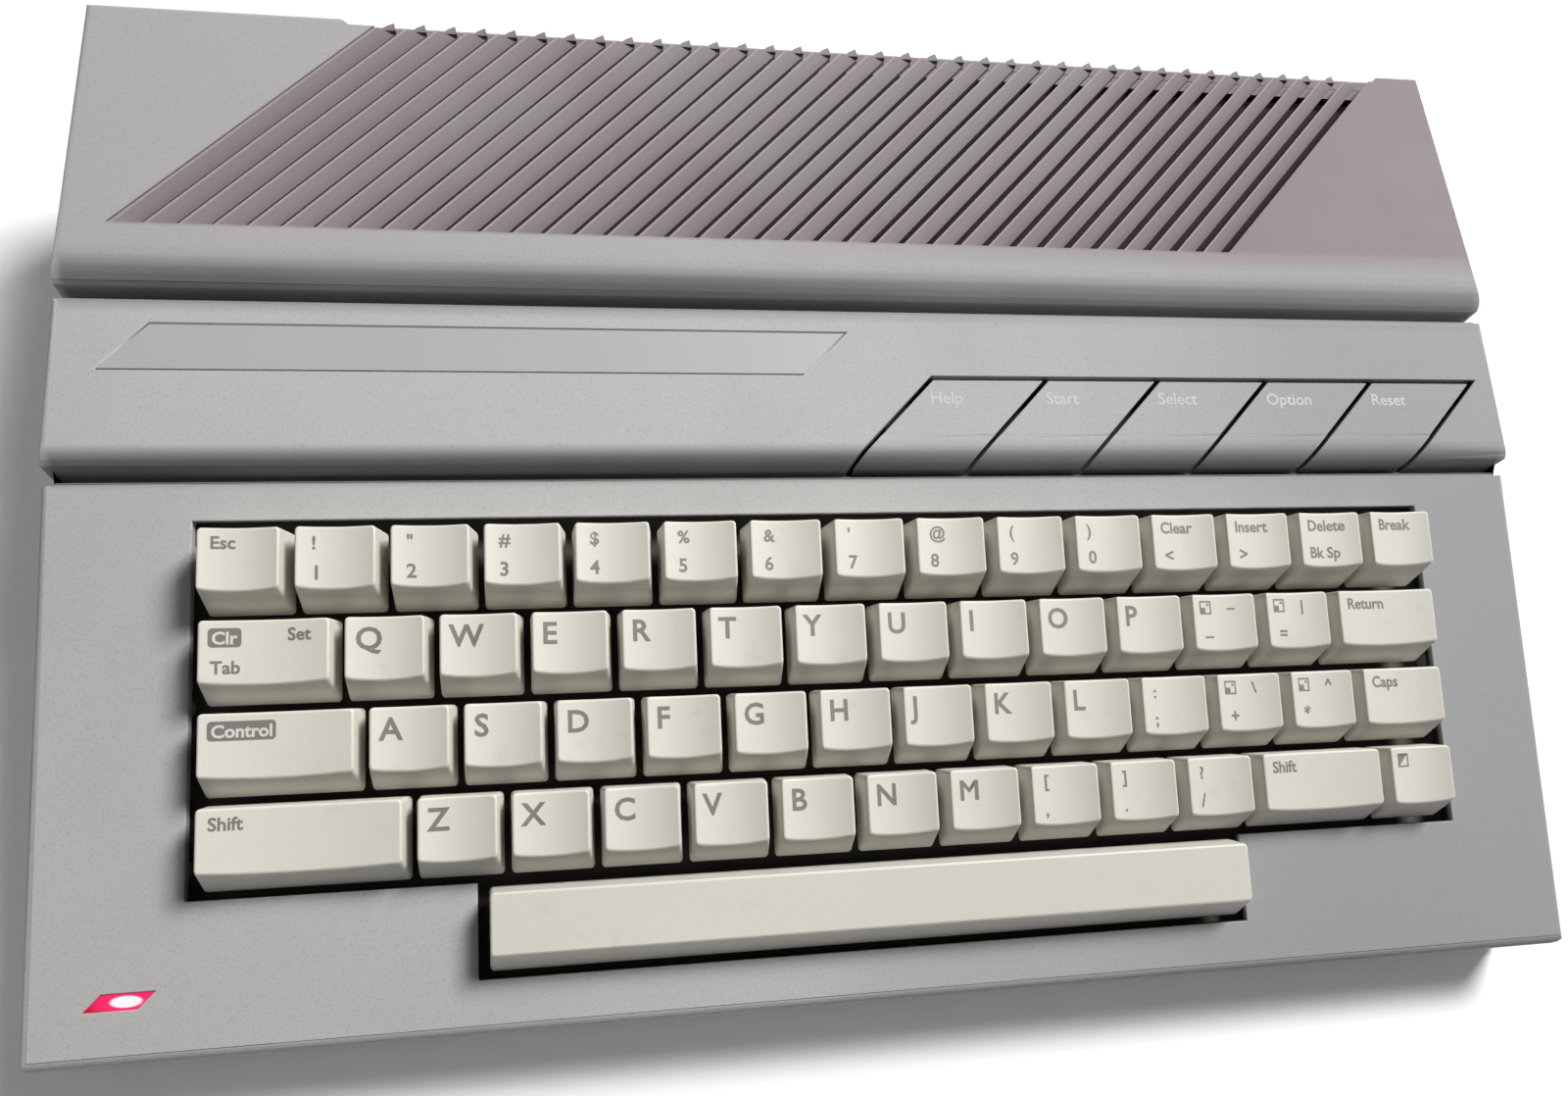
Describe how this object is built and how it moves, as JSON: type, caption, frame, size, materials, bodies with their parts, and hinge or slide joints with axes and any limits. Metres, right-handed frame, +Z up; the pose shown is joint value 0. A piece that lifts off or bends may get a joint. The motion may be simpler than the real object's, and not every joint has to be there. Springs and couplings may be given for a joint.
{
  "type": "home computer",
  "caption": "Wedge-shaped home computer with a stepped grey case, a field of slanted louvres, slanted console buttons, a full keyboard that travels and rear sockets.",
  "frame": {"origin": "centre of the footprint, on the surface that the rubber feet stand on", "axes": "+X to the right along the keyboard, +Y to the back, +Z up"},
  "size_m": [0.35, 0.234, 0.061],
  "materials": {
    "case_plastic": "fine textured light grey moulding",
    "key_plastic": "fine textured ivory grey key plastic",
    "badge_foil": "satin grey foil, bare",
    "red_lens": "clear red moulding",
    "black_plastic": "black moulding",
    "dome_rubber": "dark rubber",
    "membrane_film": "clear amber film",
    "steel_sheet": "tinned steel sheet",
    "circuit_board": "green circuit board laminate"
  },
  "bodies": {
    "case": {"upper_case": "case_plastic", "lower_case": "case_plastic", "badge_plate": "badge_foil", "led_lens": "red_lens", "power_led": "red_lens", "keyboard_frame": "black_plastic", "dome_sheet": "dome_rubber", "keyboard_membrane": "membrane_film", "keyboard_backplate": "steel_sheet", "main_board": "circuit_board", "board_chips": "black_plastic", "top_shield": "steel_sheet", "rf_modulator": "steel_sheet", "cartridge_connector": "black_plastic", "rear_sockets": "black_plastic", "controller_ports": "black_plastic", "switch_bodies": "black_plastic", "case_screws": "steel_sheet", "rubber_feet": "dome_rubber"},
    "power_switch": {"power_switch": "black_plastic"},
    "channel_switch": {"channel_switch": "black_plastic"},
    "help_button": {"help_button": "case_plastic"},
    "start_button": {"start_button": "case_plastic"},
    "select_button": {"select_button": "case_plastic"},
    "option_button": {"option_button": "case_plastic"},
    "reset_button": {"reset_button": "case_plastic"},
    "space_bar": {"space_bar": "key_plastic"},
    "left_shift_key": {"left_shift_key": "key_plastic"},
    "letter_keys_z_to_m": {"letter_keys_z_to_m": "key_plastic"},
    "comma_key": {"comma_key": "key_plastic"},
    "full_stop_key": {"full_stop_key": "key_plastic"},
    "slash_key": {"slash_key": "key_plastic"},
    "right_shift_key": {"right_shift_key": "key_plastic"},
    "inverse_key": {"inverse_key": "key_plastic"},
    "control_key": {"control_key": "key_plastic"},
    "letter_keys_a_to_l": {"letter_keys_a_to_l": "key_plastic"},
    "semicolon_key": {"semicolon_key": "key_plastic"},
    "plus_key": {"plus_key": "key_plastic"},
    "asterisk_key": {"asterisk_key": "key_plastic"},
    "caps_key": {"caps_key": "key_plastic"},
    "tab_key": {"tab_key": "key_plastic"},
    "letter_keys_q_to_p": {"letter_keys_q_to_p": "key_plastic"},
    "minus_key": {"minus_key": "key_plastic"},
    "equals_key": {"equals_key": "key_plastic"},
    "return_key": {"return_key": "key_plastic"},
    "escape_key": {"escape_key": "key_plastic"},
    "key_1": {"key_1": "key_plastic"},
    "key_2": {"key_2": "key_plastic"},
    "key_3": {"key_3": "key_plastic"},
    "key_4": {"key_4": "key_plastic"},
    "key_5": {"key_5": "key_plastic"},
    "key_6": {"key_6": "key_plastic"},
    "key_7": {"key_7": "key_plastic"},
    "key_8": {"key_8": "key_plastic"},
    "key_9": {"key_9": "key_plastic"},
    "key_0": {"key_0": "key_plastic"},
    "clear_key": {"clear_key": "key_plastic"},
    "insert_key": {"insert_key": "key_plastic"},
    "delete_key": {"delete_key": "key_plastic"},
    "break_key": {"break_key": "key_plastic"}
  },
  "joints": [
    {"name": "power_switch_rock", "type": "hinge", "parent": "case", "child": "power_switch", "pos_m": [-0.15, 0.1108, 0.021], "axis": [1, 0, 0], "range_deg": [-14, 0]},
    {"name": "channel_switch_slide", "type": "slide", "parent": "case", "child": "channel_switch", "axis": [1, 0, 0], "range_m": [0, 0.003]},
    {"name": "help_button_press", "type": "slide", "parent": "case", "child": "help_button", "axis": [0, -0.2079, 0.9781], "range_m": [-0.0018, 0], "stiffness_N_per_m": 300, "springref_m": 0.002, "deforming": ["dome_sheet"]},
    {"name": "start_button_press", "type": "slide", "parent": "case", "child": "start_button", "axis": [0, -0.2079, 0.9781], "range_m": [-0.0018, 0], "stiffness_N_per_m": 300, "springref_m": 0.002, "deforming": ["dome_sheet"]},
    {"name": "select_button_press", "type": "slide", "parent": "case", "child": "select_button", "axis": [0, -0.2079, 0.9781], "range_m": [-0.0018, 0], "stiffness_N_per_m": 300, "springref_m": 0.002, "deforming": ["dome_sheet"]},
    {"name": "option_button_press", "type": "slide", "parent": "case", "child": "option_button", "axis": [0, -0.2079, 0.9781], "range_m": [-0.0018, 0], "stiffness_N_per_m": 300, "springref_m": 0.002, "deforming": ["dome_sheet"]},
    {"name": "reset_button_press", "type": "slide", "parent": "case", "child": "reset_button", "axis": [0, -0.2079, 0.9781], "range_m": [-0.0018, 0], "stiffness_N_per_m": 300, "springref_m": 0.002, "deforming": ["dome_sheet"]},
    {"name": "space_bar_press", "type": "slide", "parent": "case", "child": "space_bar", "axis": [0, -0.2079, 0.9781], "range_m": [-0.0035, 0], "stiffness_N_per_m": 120, "springref_m": 0.004, "deforming": ["dome_sheet"]},
    {"name": "left_shift_key_press", "type": "slide", "parent": "case", "child": "left_shift_key", "axis": [0, -0.2079, 0.9781], "range_m": [-0.0035, 0], "stiffness_N_per_m": 120, "springref_m": 0.004, "deforming": ["dome_sheet"]},
    {"name": "letter_keys_z_to_m_press", "type": "slide", "parent": "case", "child": "letter_keys_z_to_m", "axis": [0, -0.2079, 0.9781], "range_m": [-0.0035, 0], "stiffness_N_per_m": 400, "springref_m": 0.004, "deforming": ["dome_sheet"]},
    {"name": "comma_key_press", "type": "slide", "parent": "case", "child": "comma_key", "axis": [0, -0.2079, 0.9781], "range_m": [-0.0035, 0], "stiffness_N_per_m": 120, "springref_m": 0.004, "deforming": ["dome_sheet"]},
    {"name": "full_stop_key_press", "type": "slide", "parent": "case", "child": "full_stop_key", "axis": [0, -0.2079, 0.9781], "range_m": [-0.0035, 0], "stiffness_N_per_m": 120, "springref_m": 0.004, "deforming": ["dome_sheet"]},
    {"name": "slash_key_press", "type": "slide", "parent": "case", "child": "slash_key", "axis": [0, -0.2079, 0.9781], "range_m": [-0.0035, 0], "stiffness_N_per_m": 120, "springref_m": 0.004, "deforming": ["dome_sheet"]},
    {"name": "right_shift_key_press", "type": "slide", "parent": "case", "child": "right_shift_key", "axis": [0, -0.2079, 0.9781], "range_m": [-0.0035, 0], "stiffness_N_per_m": 120, "springref_m": 0.004, "deforming": ["dome_sheet"]},
    {"name": "inverse_key_press", "type": "slide", "parent": "case", "child": "inverse_key", "axis": [0, -0.2079, 0.9781], "range_m": [-0.0035, 0], "stiffness_N_per_m": 120, "springref_m": 0.004, "deforming": ["dome_sheet"]},
    {"name": "control_key_press", "type": "slide", "parent": "case", "child": "control_key", "axis": [0, -0.2079, 0.9781], "range_m": [-0.0035, 0], "stiffness_N_per_m": 120, "springref_m": 0.004, "deforming": ["dome_sheet"]},
    {"name": "letter_keys_a_to_l_press", "type": "slide", "parent": "case", "child": "letter_keys_a_to_l", "axis": [0, -0.2079, 0.9781], "range_m": [-0.0035, 0], "stiffness_N_per_m": 400, "springref_m": 0.004, "deforming": ["dome_sheet"]},
    {"name": "semicolon_key_press", "type": "slide", "parent": "case", "child": "semicolon_key", "axis": [0, -0.2079, 0.9781], "range_m": [-0.0035, 0], "stiffness_N_per_m": 120, "springref_m": 0.004, "deforming": ["dome_sheet"]},
    {"name": "plus_key_press", "type": "slide", "parent": "case", "child": "plus_key", "axis": [0, -0.2079, 0.9781], "range_m": [-0.0035, 0], "stiffness_N_per_m": 120, "springref_m": 0.004, "deforming": ["dome_sheet"]},
    {"name": "asterisk_key_press", "type": "slide", "parent": "case", "child": "asterisk_key", "axis": [0, -0.2079, 0.9781], "range_m": [-0.0035, 0], "stiffness_N_per_m": 120, "springref_m": 0.004, "deforming": ["dome_sheet"]},
    {"name": "caps_key_press", "type": "slide", "parent": "case", "child": "caps_key", "axis": [0, -0.2079, 0.9781], "range_m": [-0.0035, 0], "stiffness_N_per_m": 120, "springref_m": 0.004, "deforming": ["dome_sheet"]},
    {"name": "tab_key_press", "type": "slide", "parent": "case", "child": "tab_key", "axis": [0, -0.2079, 0.9781], "range_m": [-0.0035, 0], "stiffness_N_per_m": 120, "springref_m": 0.004, "deforming": ["dome_sheet"]},
    {"name": "letter_keys_q_to_p_press", "type": "slide", "parent": "case", "child": "letter_keys_q_to_p", "axis": [0, -0.2079, 0.9781], "range_m": [-0.0035, 0], "stiffness_N_per_m": 400, "springref_m": 0.004, "deforming": ["dome_sheet"]},
    {"name": "minus_key_press", "type": "slide", "parent": "case", "child": "minus_key", "axis": [0, -0.2079, 0.9781], "range_m": [-0.0035, 0], "stiffness_N_per_m": 120, "springref_m": 0.004, "deforming": ["dome_sheet"]},
    {"name": "equals_key_press", "type": "slide", "parent": "case", "child": "equals_key", "axis": [0, -0.2079, 0.9781], "range_m": [-0.0035, 0], "stiffness_N_per_m": 120, "springref_m": 0.004, "deforming": ["dome_sheet"]},
    {"name": "return_key_press", "type": "slide", "parent": "case", "child": "return_key", "axis": [0, -0.2079, 0.9781], "range_m": [-0.0035, 0], "stiffness_N_per_m": 120, "springref_m": 0.004, "deforming": ["dome_sheet"]},
    {"name": "escape_key_press", "type": "slide", "parent": "case", "child": "escape_key", "axis": [0, -0.2079, 0.9781], "range_m": [-0.0035, 0], "stiffness_N_per_m": 120, "springref_m": 0.004, "deforming": ["dome_sheet"]},
    {"name": "key_1_press", "type": "slide", "parent": "case", "child": "key_1", "axis": [0, -0.2079, 0.9781], "range_m": [-0.0035, 0], "stiffness_N_per_m": 120, "springref_m": 0.004, "deforming": ["dome_sheet"]},
    {"name": "key_2_press", "type": "slide", "parent": "case", "child": "key_2", "axis": [0, -0.2079, 0.9781], "range_m": [-0.0035, 0], "stiffness_N_per_m": 120, "springref_m": 0.004, "deforming": ["dome_sheet"]},
    {"name": "key_3_press", "type": "slide", "parent": "case", "child": "key_3", "axis": [0, -0.2079, 0.9781], "range_m": [-0.0035, 0], "stiffness_N_per_m": 120, "springref_m": 0.004, "deforming": ["dome_sheet"]},
    {"name": "key_4_press", "type": "slide", "parent": "case", "child": "key_4", "axis": [0, -0.2079, 0.9781], "range_m": [-0.0035, 0], "stiffness_N_per_m": 120, "springref_m": 0.004, "deforming": ["dome_sheet"]},
    {"name": "key_5_press", "type": "slide", "parent": "case", "child": "key_5", "axis": [0, -0.2079, 0.9781], "range_m": [-0.0035, 0], "stiffness_N_per_m": 120, "springref_m": 0.004, "deforming": ["dome_sheet"]},
    {"name": "key_6_press", "type": "slide", "parent": "case", "child": "key_6", "axis": [0, -0.2079, 0.9781], "range_m": [-0.0035, 0], "stiffness_N_per_m": 120, "springref_m": 0.004, "deforming": ["dome_sheet"]},
    {"name": "key_7_press", "type": "slide", "parent": "case", "child": "key_7", "axis": [0, -0.2079, 0.9781], "range_m": [-0.0035, 0], "stiffness_N_per_m": 120, "springref_m": 0.004, "deforming": ["dome_sheet"]},
    {"name": "key_8_press", "type": "slide", "parent": "case", "child": "key_8", "axis": [0, -0.2079, 0.9781], "range_m": [-0.0035, 0], "stiffness_N_per_m": 120, "springref_m": 0.004, "deforming": ["dome_sheet"]},
    {"name": "key_9_press", "type": "slide", "parent": "case", "child": "key_9", "axis": [0, -0.2079, 0.9781], "range_m": [-0.0035, 0], "stiffness_N_per_m": 120, "springref_m": 0.004, "deforming": ["dome_sheet"]},
    {"name": "key_0_press", "type": "slide", "parent": "case", "child": "key_0", "axis": [0, -0.2079, 0.9781], "range_m": [-0.0035, 0], "stiffness_N_per_m": 120, "springref_m": 0.004, "deforming": ["dome_sheet"]},
    {"name": "clear_key_press", "type": "slide", "parent": "case", "child": "clear_key", "axis": [0, -0.2079, 0.9781], "range_m": [-0.0035, 0], "stiffness_N_per_m": 120, "springref_m": 0.004, "deforming": ["dome_sheet"]},
    {"name": "insert_key_press", "type": "slide", "parent": "case", "child": "insert_key", "axis": [0, -0.2079, 0.9781], "range_m": [-0.0035, 0], "stiffness_N_per_m": 120, "springref_m": 0.004, "deforming": ["dome_sheet"]},
    {"name": "delete_key_press", "type": "slide", "parent": "case", "child": "delete_key", "axis": [0, -0.2079, 0.9781], "range_m": [-0.0035, 0], "stiffness_N_per_m": 120, "springref_m": 0.004, "deforming": ["dome_sheet"]},
    {"name": "break_key_press", "type": "slide", "parent": "case", "child": "break_key", "axis": [0, -0.2079, 0.9781], "range_m": [-0.0035, 0], "stiffness_N_per_m": 120, "springref_m": 0.004, "deforming": ["dome_sheet"]}
  ]
}
